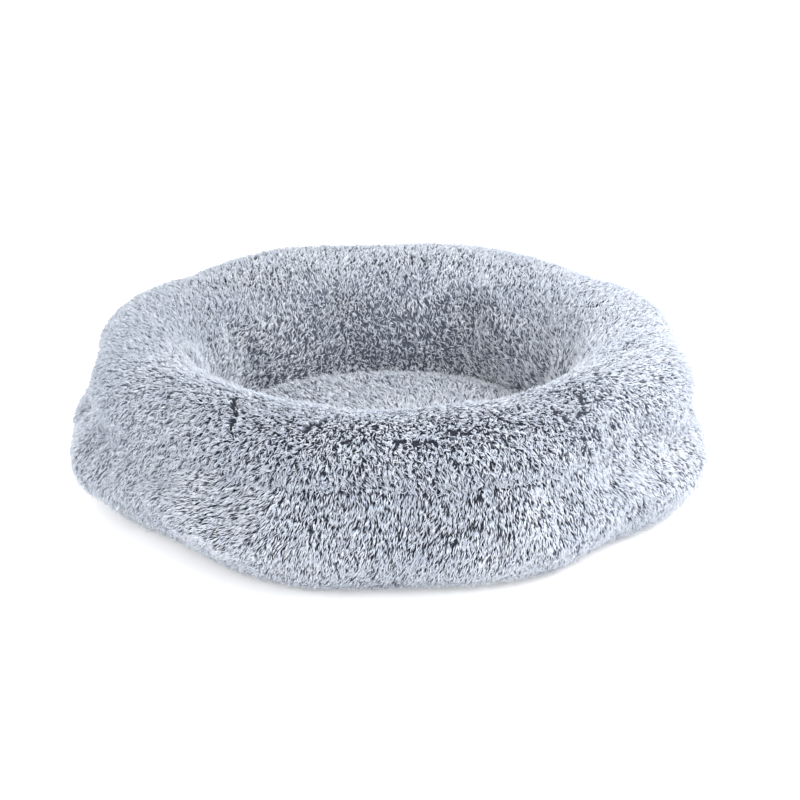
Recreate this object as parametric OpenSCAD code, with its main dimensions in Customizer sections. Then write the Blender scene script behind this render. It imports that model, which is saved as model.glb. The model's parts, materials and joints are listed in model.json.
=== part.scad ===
// Round pet cushion bed: a long-pile fur cover over a stuffed ring and a seat pad.
// Millimetres, +Z up. The floor is Z = 0, the ring's centre line is X = Y = 0 and the front faces -Y.
// The cover is cut in quarters, with its seams on the diagonals. A zip closes it at the back.

/* [Overall size] */
// Outside diameter over the fur, at the widest part of the wall
outside_d = 618; // [600:2:640]
// Height from the floor to the top of the rim
height = 164; // [158:1:176]
// Diameter of the opening between the rims
opening_d = 353; // [330:1:362]
// Height of the sleeping surface above the floor
seat_height = 56; // [44:1:70]

/* [Cover] */
// Thickness of the fur with its knitted backing
pile = 14; // [10:1:16]
// Radius of the wall's outward bulge
bulge_round = 64; // [60:1:68]
// Radius of the rolled rim
rim_round = 50; // [46:1:52]
// How far the rim stands in from the widest part of the wall
rim_set_in = 19.5; // [16:0.5:22]
// Height of the seam between the wall and the rim
crease_height = 110; // [106:1:112]

/* [Base] */
// Thickness of the base cloth
base_thick = 2; // [1.5:0.5:3]
// Height of the rubber grip dots under the base cloth
dot_height = 1; // [0.5:0.1:1.2]
// Diameter of one grip dot
dot_d = 10; // [6:1:14]
// Distance between the rings of grip dots
dot_pitch = 80; // [70:1:80]

/* [Zip] */
// Height of the middle of the zip above the floor
zip_height = 16.5; // [15:0.5:18]
// Thickness of the zip's woven tapes
tape_thick = 1; // [0.8:0.1:1]
// Radius of one row of zip coil
coil_round = 1.1; // [0.9:0.1:1.1]
// Length of the zip slider
slider_length = 10; // [8:0.5:12]
// Length of the pull tab from its pivot
pull_length = 26; // [18:1:28]

/* [Hidden] */
// Round features use enough segments to be true circles.
$fn = 96;
quarter = 90;
// Where the quarters start, counted from +X.
right_start = -45;
back_start = 45;
left_start = 135;
front_start = 225;

wall_outer = outside_d / 2;
bulge_centre = wall_outer - bulge_round;
bulge_inner = bulge_round - pile;
rim_outer_centre = wall_outer - rim_set_in - rim_round;
rim_inner_centre = opening_d / 2 + rim_round;
rim_centre_z = height - rim_round;
rim_inner = rim_round - pile;
opening_r = opening_d / 2;
lining_r = opening_r + pile;

base_top = dot_height + base_thick;
wall_foot = bulge_centre + sqrt(pow(bulge_round, 2) - pow(bulge_round - base_top, 2));
base_r = wall_foot + 1;
seat_under = seat_height - pile + 2;
seat_edge = 6;
dot_rings = 3;
dots_per_ring = 6;

// The zip lies in a recess under the hem of the back wall.
zip_r = base_r - 1;
hem_z = 30;
hem_thick = 3;
recess_r = zip_r - 6;
// The two rows of coil, on both sides of the slider's divider
coil_offset = 1.9;
coil_start = 50.5;
coil_end = 129.8;
stop_length = 3;
stop_angle = 0.9;
stop_thick = 2.1;
stop_half_height = 3;

slider_angle = 128;
slider_half_height = 4.6;
plate_thick = 1.4;
plate_gap = 1.5;
flange_height = 0.8;
flange_reach = 0.6;
divider_thick = 1;
divider_length = 4;
bridge_half = 3.5;
bridge_leg = 1.2;
bridge_rise = 2.2;
bridge_half_width = 1.2;

pivot_r = zip_r + plate_gap + plate_thick + bridge_rise / 2;
pivot_pin = 0.7;
eye_half = 2.2;
pull_half_width = 3.4;
eye_length = 5.4;
tab_thick = 1.4;

// Larger than any section, for cutting.
far = 500;
// Overlap that makes a union of touching shapes one solid.
weld = 0.2;

// Sections, drawn with X as the radius and Y as the height.

// The rolled rim at a given radius: two circles with a flat between them.
module roll_section(round_r) {
    translate([rim_inner_centre, rim_centre_z]) circle(r = round_r);
    translate([rim_outer_centre, rim_centre_z]) circle(r = round_r);
    translate([rim_inner_centre, rim_centre_z - round_r])
        square([rim_outer_centre - rim_inner_centre, 2 * round_r]);
}

// The bulging outer wall, from the base cloth up to the crease.
module wall_section() {
    intersection() {
        difference() {
            translate([bulge_centre, bulge_round]) circle(r = bulge_round);
            translate([bulge_centre, bulge_round]) circle(r = bulge_inner);
        }
        translate([bulge_centre, base_top]) square([far, crease_height - base_top]);
    }
}

// The back wall stops at a turned hem above the zip.
module wall_back_section() {
    intersection() {
        wall_section();
        translate([0, hem_z]) square([far, far]);
    }
    translate([recess_r, hem_z]) square([bulge_centre - recess_r + bulge_inner, hem_thick]);
}

// The rim, from the crease over the top and down to the middle of its inner side.
module rim_section() {
    difference() {
        roll_section(rim_round);
        roll_section(rim_inner);
        square([rim_inner_centre, rim_centre_z]);
        translate([rim_inner_centre, 0])
            square([rim_outer_centre - rim_inner_centre, rim_centre_z]);
        translate([rim_outer_centre, 0]) square([far, crease_height]);
    }
}

// The inner wall, from the rim down to the seat pad.
module inner_section() {
    translate([opening_r, seat_under]) square([pile, rim_centre_z - seat_under]);
}

// The stuffing fills the ring inside the cover.
module bolster_section() {
    difference() {
        union() {
            intersection() {
                translate([bulge_centre, bulge_round]) circle(r = bulge_inner);
                translate([lining_r, 0]) square([far, far]);
            }
            intersection() {
                roll_section(rim_inner);
                translate([lining_r, 0]) square([far, far]);
            }
            translate([lining_r, base_top])
                square([bulge_centre - lining_r, rim_centre_z - base_top]);
        }
        wall_section();
        rim_section();
    }
}

// At the back the stuffing leaves room behind the zip.
module bolster_back_section() {
    difference() {
        bolster_section();
        translate([recess_r, 0]) square([far, hem_z + hem_thick]);
    }
}

// A quarter of the ring with the section that it is given.
module ring_quarter(start) {
    rotate([0, 0, start]) rotate_extrude(angle = quarter) children();
}

// A stretch of the zip with the section that it is given.
module zip_run(start, end) {
    rotate([0, 0, start]) rotate_extrude(angle = end - start) children();
}

// Puts a shape on the zip's line, with X pointing outwards and Y along the zip.
module on_zip(angle) {
    rotate([0, 0, angle]) translate([zip_r, 0, zip_height]) children();
}

// Outer wall of the fur cover

module wall_front() { color("#a9b0c2") ring_quarter(front_start) wall_section(); }
module wall_right() { color("#a9b0c2") ring_quarter(right_start) wall_section(); }
module wall_back() { color("#a9b0c2") ring_quarter(back_start) wall_back_section(); }
module wall_left() { color("#a9b0c2") ring_quarter(left_start) wall_section(); }

// Rolled rim of the fur cover

module rim_front() { color("#c3cad8") ring_quarter(front_start) rim_section(); }
module rim_right() { color("#c3cad8") ring_quarter(right_start) rim_section(); }
module rim_back() { color("#c3cad8") ring_quarter(back_start) rim_section(); }
module rim_left() { color("#c3cad8") ring_quarter(left_start) rim_section(); }

// Inner wall of the fur cover

module inner_front() { color("#b4bbcb") ring_quarter(front_start) inner_section(); }
module inner_right() { color("#b4bbcb") ring_quarter(right_start) inner_section(); }
module inner_back() { color("#b4bbcb") ring_quarter(back_start) inner_section(); }
module inner_left() { color("#b4bbcb") ring_quarter(left_start) inner_section(); }

// Fibre stuffing of the ring

module bolster_front() { color("#f4f4f0") ring_quarter(front_start) bolster_section(); }
module bolster_right() { color("#f4f4f0") ring_quarter(right_start) bolster_section(); }
module bolster_back() { color("#f4f4f0") ring_quarter(back_start) bolster_back_section(); }
module bolster_left() { color("#f4f4f0") ring_quarter(left_start) bolster_section(); }

// Sleeping surface, with a rounded upper edge
module seat_plush() {
    color("#b9c0cf")
    rotate_extrude() {
        translate([0, seat_under]) square([opening_r, seat_height - seat_under - seat_edge]);
        translate([0, seat_under]) square([opening_r - seat_edge, seat_height - seat_under]);
        translate([opening_r - seat_edge, seat_height - seat_edge]) circle(r = seat_edge);
    }
}

// Fibre pad under the sleeping surface
module seat_pad() {
    color("#f4f4f0")
    translate([0, 0, base_top])
        cylinder(r = lining_r, h = seat_under - base_top);
}

module base_cloth() {
    color("#5b6070")
    translate([0, 0, dot_height]) cylinder(r = base_r, h = base_thick);
}

// Rubber dots printed under the base cloth, in rings
module grip_dots() {
    color("#2f333d")
    for (ring = [1 : dot_rings]) {
        for (k = [0 : ring * dots_per_ring - 1]) {
            rotate([0, 0, k * 360 / (ring * dots_per_ring)])
                translate([ring * dot_pitch, 0, 0])
                    cylinder(d = dot_d, h = dot_height);
        }
    }
}

// Woven tape sewn to the base cloth
module zip_tape_lower() {
    color("#7d8496")
    zip_run(back_start, left_start)
        translate([zip_r - tape_thick / 2, base_top])
            square([tape_thick, zip_height - coil_offset - coil_round - base_top]);
}

// Woven tape sewn to the hem of the back wall
module zip_tape_upper() {
    color("#7d8496")
    zip_run(back_start, left_start)
        translate([zip_r - tape_thick / 2, zip_height + coil_offset + coil_round])
            square([tape_thick, hem_z - zip_height - coil_offset - coil_round]);
}

module zip_coil_lower() {
    color("#6b7183")
    zip_run(coil_start, coil_end)
        translate([zip_r, zip_height - coil_offset]) circle(r = coil_round);
}

module zip_coil_upper() {
    color("#6b7183")
    zip_run(coil_start, coil_end)
        translate([zip_r, zip_height + coil_offset]) circle(r = coil_round);
}

// Metal stops clamped across both tapes at the two ends of the coil
module zip_stops() {
    color("#9aa0a8")
    for (angle = [coil_start - stop_angle, coil_end + stop_angle]) {
        on_zip(angle)
            translate([tape_thick / 2, -stop_length / 2, -stop_half_height])
                cube([stop_thick, stop_length, 2 * stop_half_height]);
    }
}

// One plate of the slider, with the two flanges that hold it on the tapes
module slider_plate() {
    translate([plate_gap, -slider_length / 2, -slider_half_height])
        cube([plate_thick, slider_length, 2 * slider_half_height]);
    for (side = [0, 1]) {
        mirror([0, 0, side])
            translate([plate_gap - flange_reach, -slider_length / 2,
                       slider_half_height - flange_height])
                cube([flange_reach + weld, slider_length, flange_height]);
    }
}

// The bow over the outer plate that the pull tab hangs on
module slider_bridge() {
    foot = plate_gap + plate_thick;
    for (side = [0, 1]) {
        mirror([0, side, 0])
            translate([foot - weld, bridge_half - bridge_leg, -bridge_half_width])
                cube([bridge_rise + 2 * weld, bridge_leg, 2 * bridge_half_width]);
    }
    translate([foot + bridge_rise, -bridge_half, -bridge_half_width])
        cube([bridge_leg, 2 * bridge_half, 2 * bridge_half_width]);
}

module zip_slider() {
    color("#9aa0a8")
    on_zip(slider_angle)
    union() {
        slider_plate();
        mirror([1, 0, 0]) slider_plate();
        translate([-plate_gap - weld, slider_length / 2 - divider_length, -divider_thick / 2])
            cube([2 * plate_gap + 2 * weld, divider_length, divider_thick]);
        slider_bridge();
    }
}

// The pull tab: a pin under the slider's bow, two arms round it and the tab
module zip_pull() {
    color("#9aa0a8")
    on_zip(slider_angle)
    translate([pivot_r - zip_r, 0, 0])
    union() {
        translate([0, 0, -pull_half_width]) cylinder(r = pivot_pin, h = 2 * pull_half_width);
        for (side = [0, 1]) {
            mirror([0, 0, side])
                translate([-tab_thick / 2, 0, eye_half])
                    cube([tab_thick, eye_length + weld, pull_half_width - eye_half]);
        }
        translate([-tab_thick / 2, eye_length, -pull_half_width])
            cube([tab_thick, pull_length - pull_half_width - eye_length, 2 * pull_half_width]);
        translate([-tab_thick / 2, pull_length - pull_half_width, 0])
            rotate([0, 90, 0]) cylinder(r = pull_half_width, h = tab_thick);
    }
}

wall_front();
wall_right();
wall_back();
wall_left();
rim_front();
rim_right();
rim_back();
rim_left();
inner_front();
inner_right();
inner_back();
inner_left();
bolster_front();
bolster_right();
bolster_back();
bolster_left();
seat_plush();
seat_pad();
base_cloth();
grip_dots();
zip_tape_lower();
zip_tape_upper();
zip_coil_lower();
zip_coil_upper();
zip_stops();
zip_slider();
zip_pull();
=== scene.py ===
import json
import math

import bmesh
import bpy
import numpy as np
from mathutils import Matrix, Vector, noise
from mathutils.kdtree import KDTree


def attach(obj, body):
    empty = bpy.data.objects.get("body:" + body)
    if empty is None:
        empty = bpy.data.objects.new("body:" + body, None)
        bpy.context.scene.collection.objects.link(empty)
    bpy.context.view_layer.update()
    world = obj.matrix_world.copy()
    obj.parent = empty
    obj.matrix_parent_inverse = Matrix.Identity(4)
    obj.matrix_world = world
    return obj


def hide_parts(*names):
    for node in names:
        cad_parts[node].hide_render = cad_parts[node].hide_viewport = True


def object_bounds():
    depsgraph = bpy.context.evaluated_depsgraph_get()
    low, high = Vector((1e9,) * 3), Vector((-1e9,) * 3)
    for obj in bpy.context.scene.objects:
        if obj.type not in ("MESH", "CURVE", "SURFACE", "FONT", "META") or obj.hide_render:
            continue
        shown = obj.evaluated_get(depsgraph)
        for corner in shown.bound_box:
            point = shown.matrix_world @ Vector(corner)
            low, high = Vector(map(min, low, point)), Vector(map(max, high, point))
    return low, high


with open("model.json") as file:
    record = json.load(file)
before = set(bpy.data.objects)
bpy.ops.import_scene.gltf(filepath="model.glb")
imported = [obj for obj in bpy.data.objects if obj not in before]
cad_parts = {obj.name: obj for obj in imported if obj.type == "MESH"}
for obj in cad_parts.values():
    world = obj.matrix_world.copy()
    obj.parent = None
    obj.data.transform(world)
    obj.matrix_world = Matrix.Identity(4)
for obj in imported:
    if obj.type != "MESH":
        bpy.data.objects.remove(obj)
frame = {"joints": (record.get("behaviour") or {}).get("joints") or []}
cad_low, cad_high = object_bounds()

# ---------------------------------------------------------------------------
# The studio: a pale floor that runs out of sight, an even white surround, a
# large soft light from the right and a camera a little above the bed.

scene = bpy.context.scene
scene.view_settings.view_transform = "Standard"

bed_middle = Vector((0.0, 0.0, 0.072))
camera_distance = 2.017
camera_rise = math.radians(21.48)
lens_mm = 91.6
aim_right = 0.0119
aim_up = 0.0073


def look_at(obj, target):
    obj.rotation_euler = (target - obj.location).to_track_quat("-Z", "Y").to_euler()


camera_data = bpy.data.cameras.new("camera")
camera_data.lens = lens_mm
camera = bpy.data.objects.new("camera", camera_data)
scene.collection.objects.link(camera)
line_of_sight = Vector((0.0, math.cos(camera_rise), -math.sin(camera_rise)))
camera.location = bed_middle - line_of_sight * camera_distance
upwards = Vector((0.0, math.sin(camera_rise), math.cos(camera_rise)))
look_at(camera, bed_middle + Vector((aim_right, 0.0, 0.0)) + upwards * aim_up)
scene.camera = camera

surround = bpy.data.worlds.new("surround")
surround.use_nodes = True
sky = surround.node_tree.nodes["Background"]
sky.inputs["Color"].default_value = (0.98, 0.98, 0.98, 1.0)
sky.inputs["Strength"].default_value = 1.48
scene.world = surround


def soft_light(name, place, size, watts):
    lamp = bpy.data.lights.new(name, "AREA")
    lamp.shape = "DISK"
    lamp.size = size
    lamp.energy = watts
    obj = bpy.data.objects.new(name, lamp)
    obj.location = place
    look_at(obj, Vector((0.0, 0.0, 0.08)))
    scene.collection.objects.link(obj)


soft_light("light_right", Vector((1.7, -0.9, 1.8)), 1.4, 42.5)
soft_light("light_front", Vector((-0.6, -2.2, 1.5)), 1.3, 21.0)


def mesh_of(bm, name, material=None):
    """Turns a shape into a mesh, and frees the shape."""
    mesh = bpy.data.meshes.new(name)
    bm.to_mesh(mesh)
    bm.free()
    if material is not None:
        mesh.materials.append(material)
    return mesh


floor_paint = bpy.data.materials.new("floor_paint")
floor_paint.use_nodes = True
paint = floor_paint.node_tree.nodes["Principled BSDF"]
paint.inputs["Base Color"].default_value = (0.97, 0.97, 0.97, 1.0)
paint.inputs["Roughness"].default_value = 0.7
paint.inputs["Emission Color"].default_value = (1.0, 1.0, 1.0, 1.0)
paint.inputs["Emission Strength"].default_value = 0.22

floor_half = 12.0
bm = bmesh.new()
bmesh.ops.create_grid(bm, x_segments=4, y_segments=4, size=floor_half)
floor = bpy.data.objects.new("floor", mesh_of(bm, "floor", floor_paint))
scene.collection.objects.link(floor)

# ---------------------------------------------------------------------------
# The stuffed ring: loose polyester fibre in a bag behind each quarter of the
# cover. Its skin swells between the seams, and the cover lies on that skin.

outside_radius = round(cad_high.x, 3)
rim_top = round(cad_high.z, 3)
pile_height = 0.0062
bulge_over_fur = 0.064
rim_over_fur = 0.050
rim_set_in = 0.0195
opening_radius = 0.1765
crease_height = 0.108
under_height = 0.005
foot_radius = 0.240
bulge_centre = (outside_radius - bulge_over_fur, bulge_over_fur)
bulge_round = bulge_over_fur - pile_height
rim_height = rim_top - rim_over_fur
rim_round = rim_over_fur - pile_height
rim_inner_centre = (opening_radius + rim_over_fur, rim_height)
rim_outer_centre = (outside_radius - rim_set_in - rim_over_fur, rim_height)
lining_radius = 0.176 + pile_height
turns = 180

# The stretches of the ring's section: its underside, then the wall outside, the
# rim over the top and the inner wall back down to the seat.
UNDER, WALL, RIM, INNER = 0, 1, 2, 3


def on_arc(centre, round_by, a):
    return centre[0] + round_by * math.cos(a), centre[1] + round_by * math.sin(a)


def ring_section():
    """The ring's section as radius, height and stretch, one point after another."""
    points = []
    for k in range(7):
        points.append((lining_radius + (foot_radius - lining_radius) * k / 7, under_height, UNDER))
    low = math.radians(-80)
    high = math.asin((crease_height - bulge_centre[1]) / bulge_round)
    for k in range(24):
        radius, height = on_arc(bulge_centre, bulge_round, low + (high - low) * k / 24)
        points.append((radius, max(height, under_height + 0.001), WALL))
    start = math.asin((crease_height - rim_height) / rim_round)
    top = math.pi / 2
    for k in range(15):
        points.append((*on_arc(rim_outer_centre, rim_round, start + (top - start) * k / 14), RIM))
    for k in range(13):
        points.append((*on_arc(rim_inner_centre, rim_round, top + math.pi / 2 * k / 13), RIM))
    for k in range(13):
        t = k / 13
        drop = (rim_height - under_height) * t
        points.append((lining_radius - 0.004 * math.sin(math.pi * t), rim_height - drop, INNER))
    return points


def smooth_step(x, low, high):
    t = min(max((x - low) / (high - low), 0.0), 1.0)
    return t * t * (3 - 2 * t)


# How far the stuffed ring stands in or out of a true circle, in metres at some
# angles from the front: at its foot, where it rests, at its belly and at the
# rim. The last is how far the rim rises or falls.
foot_out = ((-180, 0.0), (-120, 0.0), (-90, 0.004), (-62, -0.007), (-44, -0.013), (-30, -0.007),
            (-16, -0.003), (0, -0.004), (20, -0.004), (36, -0.001), (48, -0.003), (60, 0.005), (75, 0.009),
            (90, 0.007), (130, 0.0), (180, 0.0))
belly_out = ((-180, 0.0), (-125, 0.0), (-100, 0.008), (-72, 0.008), (-50, 0.0), (60, 0.0), (85, 0.004),
             (110, 0.0), (180, 0.0))
rim_out = ((-180, 0.0), (-110, -0.002), (-80, -0.001), (-45, -0.003), (0, -0.002), (45, 0.0), (75, 0.005),
           (100, 0.003), (130, -0.002), (180, -0.001))
rim_up = ((-180, 0.001), (-155, 0.004), (-120, 0.001), (-60, 0.0), (60, -0.001), (105, 0.001),
          (140, 0.005), (180, 0.001))


def at_turn(pairs, turn):
    return float(np.interp(math.degrees(turn), [a for a, _ in pairs], [b for _, b in pairs]))


gather_height = 0.089


def swell(radius, turn, z):
    """A point's radius once the lumps, the flats, the gathers and the tables have moved it."""
    outside = smooth_step(radius, 0.21, 0.27)
    flats = 1 - 0.018 * math.cos(8 * turn) * outside
    place = Vector((math.sin(turn) * 2.6, -math.cos(turn) * 2.6, z * 9))
    lumps = 0.0055 * noise.noise(place) * (0.35 + 0.65 * outside)
    gather_zone = math.exp(-((z - gather_height) / 0.017) ** 2) * outside
    gathers = 0.0030 * gather_zone * math.cos(19 * turn + 2.5 * noise.noise(place * 1.7))
    waist = (0.004 + 0.012 * math.sin(turn) ** 2) * gather_zone
    foot = at_turn(foot_out, turn) * (1 - smooth_step(z, 0.004, 0.075)) * outside
    over = at_turn(rim_out, turn) * smooth_step(z, 0.086, 0.112) * outside
    belly = at_turn(belly_out, turn) * math.exp(-((z - 0.058) / 0.030) ** 2) * outside
    return radius * flats + lumps + gathers - waist + foot + belly + over


# Soft dents in the rim: angle from the front, radius, width and depth.
rim_dents = ((6.0, 0.262, 0.017, 0.007), (-29.0, 0.255, 0.012, 0.003), (39.0, 0.255, 0.012, 0.003),
             (70.0, 0.232, 0.013, 0.004))


def sag(radius, turn, z):
    """The rim rises and falls a little, most where the stuffing is thin."""
    top = smooth_step(z, 0.10, 0.15)
    place = Vector((math.sin(turn) * 1.9 + 5, -math.cos(turn) * 1.9, 3.0))
    turn = math.atan2(math.sin(turn), math.cos(turn))
    dent = 0.0
    for middle, at_radius, wide, deep in rim_dents:
        away = math.hypot((turn - math.radians(middle)) * 0.26, radius - at_radius)
        dent += deep * math.exp(-(away / wide) ** 2)
    return z + top * (0.006 * noise.noise(place) + at_turn(rim_up, turn) - dent)


hem_height = 0.0315
recess_radius = 0.2575
recess_foot = 0.012


def tuck_for_zip(radius, turn, z, part):
    """At the back the wall turns in under itself above the zip."""
    from_back = abs(math.degrees(math.pi - (turn % (2 * math.pi))))
    share = 1 - smooth_step(from_back, 44.2, 47.5)
    if share == 0 or z > hem_height + 0.03 or part in (RIM, INNER):
        return radius, z
    if radius < recess_radius and z < recess_foot:
        return radius, z
    if z < recess_foot:
        new_radius, new_z = recess_radius, z
    elif z < hem_height:
        t = (z - recess_foot) / (hem_height - recess_foot)
        rise = min(t / 0.45, 1.0)
        out = max((t - 0.45) / 0.55, 0.0)
        new_z = recess_foot + (hem_height - recess_foot) * rise
        new_radius = recess_radius + (radius - recess_radius) * out
    else:
        new_radius, new_z = radius, z
    return radius + (new_radius - radius) * share, z + (new_z - z) * share


ring_bm = bmesh.new()
part_layer = ring_bm.verts.layers.int.new("part")
start_turn = math.radians(45)
chain = []
for r, z, part in ring_section():
    v = ring_bm.verts.new((r * math.cos(start_turn), r * math.sin(start_turn), z))
    v[part_layer] = part
    chain.append(v)
edges = [ring_bm.edges.new((chain[k], chain[(k + 1) % len(chain)])) for k in range(len(chain))]
bmesh.ops.spin(ring_bm, geom=chain + edges, cent=(0, 0, 0), axis=(0, 0, 1), angle=math.radians(360),
               steps=turns, use_merge=True)
bmesh.ops.remove_doubles(ring_bm, verts=ring_bm.verts, dist=0.00002)
bmesh.ops.recalc_face_normals(ring_bm, faces=ring_bm.faces)
for v in ring_bm.verts:
    r = math.hypot(v.co.x, v.co.y)
    turn = math.atan2(v.co.x, -v.co.y)
    z = v.co.z
    r2, z2 = tuck_for_zip(swell(r, turn, z), turn, sag(r, turn, z), v[part_layer])
    v.co = (r2 * math.sin(turn), -r2 * math.cos(turn), z2)
ring_mesh = mesh_of(ring_bm, "ring_skin")
ring = bpy.data.objects.new("ring_skin", ring_mesh)
scene.collection.objects.link(ring)


def positions(mesh):
    co = np.zeros(len(mesh.vertices) * 3, np.float32)
    mesh.vertices.foreach_get("co", co)
    return co.reshape(-1, 3)


def inflate(obj, held, frames, pressure, most, slack):
    """Swells a stuffed skin with the points in held fixed, and lets no point move further than most."""
    before = positions(obj.data).astype(float)
    group = obj.vertex_groups.new(name="held")
    for index in np.nonzero(held > 0)[0]:
        group.add([int(index)], float(held[index]), "REPLACE")
    cloth = obj.modifiers.new("swell", "CLOTH")
    cloth.settings.quality = 6
    cloth.settings.mass = 0.25
    cloth.settings.tension_stiffness = 12
    cloth.settings.compression_stiffness = 12
    cloth.settings.bending_stiffness = 0.6
    cloth.settings.use_pressure = True
    cloth.settings.uniform_pressure_force = pressure
    cloth.settings.vertex_group_mass = "held"
    cloth.settings.shrink_min = -slack
    cloth.settings.effector_weights.gravity = 0.0
    cloth.collision_settings.use_self_collision = False
    cloth.point_cache.frame_start = 1
    cloth.point_cache.frame_end = frames
    for number in range(1, frames + 1):
        scene.frame_set(number)
    graph = bpy.context.evaluated_depsgraph_get()
    after = positions(obj.evaluated_get(graph).data).astype(float)
    obj.modifiers.remove(cloth)
    scene.frame_set(1)
    move = after - before
    far = np.linalg.norm(move, axis=1, keepdims=True)
    move *= np.minimum(1.0, most / np.maximum(far, 1e-9))
    obj.data.vertices.foreach_set("co", (before + move).astype(np.float32).ravel())
    obj.data.update()


ring_part = np.zeros(len(ring_mesh.vertices), np.int32)
ring_mesh.attributes["part"].data.foreach_get("value", ring_part)
co = positions(ring_mesh)
held = np.zeros(len(co))
held[ring_part == UNDER] = 1.0
held[co[:, 2] < 0.034] = 1.0
held[(np.abs(co[:, 2] - gather_height) < 0.0035) & (np.hypot(co[:, 0], co[:, 1]) > 0.26)] = 0.9
inflate(ring, held, frames=14, pressure=1.5, most=0.006, slack=0.03)

# A quarter's name and the angle of its middle, counted from +X.
quarters = {"front": -90, "right": 0, "back": 90, "left": 180}


def quarter_of(x, y):
    angle = math.degrees(math.atan2(y, x))
    return min(quarters, key=lambda q: abs((angle - quarters[q] + 180) % 360 - 180))


def link(name, mesh, body="cover"):
    obj = bpy.data.objects.new(name, mesh)
    scene.collection.objects.link(obj)
    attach(obj, body)
    return obj


def cut_from_ring(quarter, parts):
    """The faces of the ring's skin in one quarter and in the given stretches of its section."""
    bm = bmesh.new()
    bm.from_mesh(ring_mesh)
    layer = bm.verts.layers.int["part"]
    unwanted = []
    for face in bm.faces:
        middle = face.calc_center_median()
        kinds = [v[layer] for v in face.verts]
        kind = max(kinds)
        if UNDER in kinds and INNER in kinds:
            kind = INNER
        if quarter_of(middle.x, middle.y) != quarter or kind not in parts:
            unwanted.append(face)
    bmesh.ops.delete(bm, geom=unwanted, context="FACES")
    for face in bm.faces:
        face.smooth = True
    return bm


def new_material(name, roughness):
    material = bpy.data.materials.new(name)
    material.use_nodes = True
    nodes, links = material.node_tree.nodes, material.node_tree.links
    shader = nodes["Principled BSDF"]
    shader.inputs["Roughness"].default_value = roughness
    return material, nodes, links, shader


def colour_ramp(nodes, stops):
    ramp = nodes.new("ShaderNodeValToRGB")
    while len(ramp.color_ramp.elements) < len(stops):
        ramp.color_ramp.elements.new(0.5)
    for element, (place, colour) in zip(ramp.color_ramp.elements, stops):
        element.position = place
        element.color = (*colour, 1.0)
    return ramp


def texture(nodes, links, kind, settings, over=None):
    """A texture laid over the piece's own coordinates, or over those given."""
    made = nodes.new("ShaderNodeTex" + kind)
    for socket, value in settings.items():
        made.inputs[socket].default_value = value
    if over is None:
        over = nodes.new("ShaderNodeTexCoord").outputs["Object"]
    links.new(over, made.inputs["Vector"])
    return made


def tint(nodes, links, shader, source, stops):
    """The shader takes its colour from a ramp that a texture's output runs along."""
    ramp = colour_ramp(nodes, stops)
    links.new(source, ramp.inputs["Fac"])
    links.new(ramp.outputs["Color"], shader.inputs["Base Color"])


def relief(nodes, links, shader, source, strength, depth):
    """Small bumps from a texture's output. It gives the node back."""
    bump = nodes.new("ShaderNodeBump")
    bump.inputs["Strength"].default_value = strength
    bump.inputs["Distance"].default_value = depth
    links.new(source, bump.inputs["Height"])
    links.new(bump.outputs["Normal"], shader.inputs["Normal"])
    return bump


fibre, nodes, links, shader = new_material("polyester_fibre", 0.9)
wisps = texture(nodes, links, "Noise", {"Scale": 60.0, "Detail": 6.0})
tint(nodes, links, shader, wisps.outputs["Fac"], [(0.3, (0.62, 0.62, 0.60)), (0.7, (0.86, 0.86, 0.84))])
relief(nodes, links, shader, wisps.outputs["Fac"], 0.5, 0.002)

# How far the stuffing lies inside the cover's backing.
stuffing_gap = 0.0012

for quarter in quarters:
    bm = cut_from_ring(quarter, (UNDER, WALL, RIM, INNER))
    bmesh.ops.holes_fill(bm, edges=[e for e in bm.edges if e.is_boundary])
    bmesh.ops.recalc_face_normals(bm, faces=bm.faces)
    bm.normal_update()
    for v in bm.verts:
        v.co -= v.normal * stuffing_gap
    bmesh.ops.triangulate(bm, faces=[f for f in bm.faces if len(f.verts) > 4])
    stuffing = link("stuffing_" + quarter, mesh_of(bm, "stuffing_" + quarter, fibre))
    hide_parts("bolster_" + quarter)

# ---------------------------------------------------------------------------
# The cover: twelve panels of long plush, a wall, a rim and an inner wall in
# each quarter, sewn edge to edge. Each is a knitted backing with a dyed pile.

backing_thick = 0.0012


def greatest(nodes, links, outputs):
    """The greatest of some outputs at each point."""
    most = outputs[0]
    for other in outputs[1:]:
        pick = nodes.new("ShaderNodeMath")
        pick.operation = "MAXIMUM"
        links.new(most, pick.inputs[0])
        links.new(other, pick.inputs[1])
        most = pick.outputs["Value"]
    return most


# The knitted backing is painted near-black blue, with a knit texture in it: painted shade in the gaps
# between the tufts.
backing, nodes, links, shader = new_material("knitted_backing", 0.95)
where = nodes.new("ShaderNodeTexCoord")
knit = texture(nodes, links, "Voronoi", {"Scale": 650.0}, where.outputs["Object"])
ramp = colour_ramp(nodes, [(0.0, (0.003, 0.004, 0.008)), (0.6, (0.012, 0.015, 0.026))])
links.new(knit.outputs["Distance"], ramp.inputs["Fac"])
apart = nodes.new("ShaderNodeSeparateXYZ")
links.new(where.outputs["Object"], apart.inputs["Vector"])
flat = nodes.new("ShaderNodeCombineXYZ")
links.new(apart.outputs["X"], flat.inputs["X"])
links.new(apart.outputs["Y"], flat.inputs["Y"])
from_middle = nodes.new("ShaderNodeVectorMath")
from_middle.operation = "LENGTH"
links.new(flat.outputs["Vector"], from_middle.inputs[0])
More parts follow.
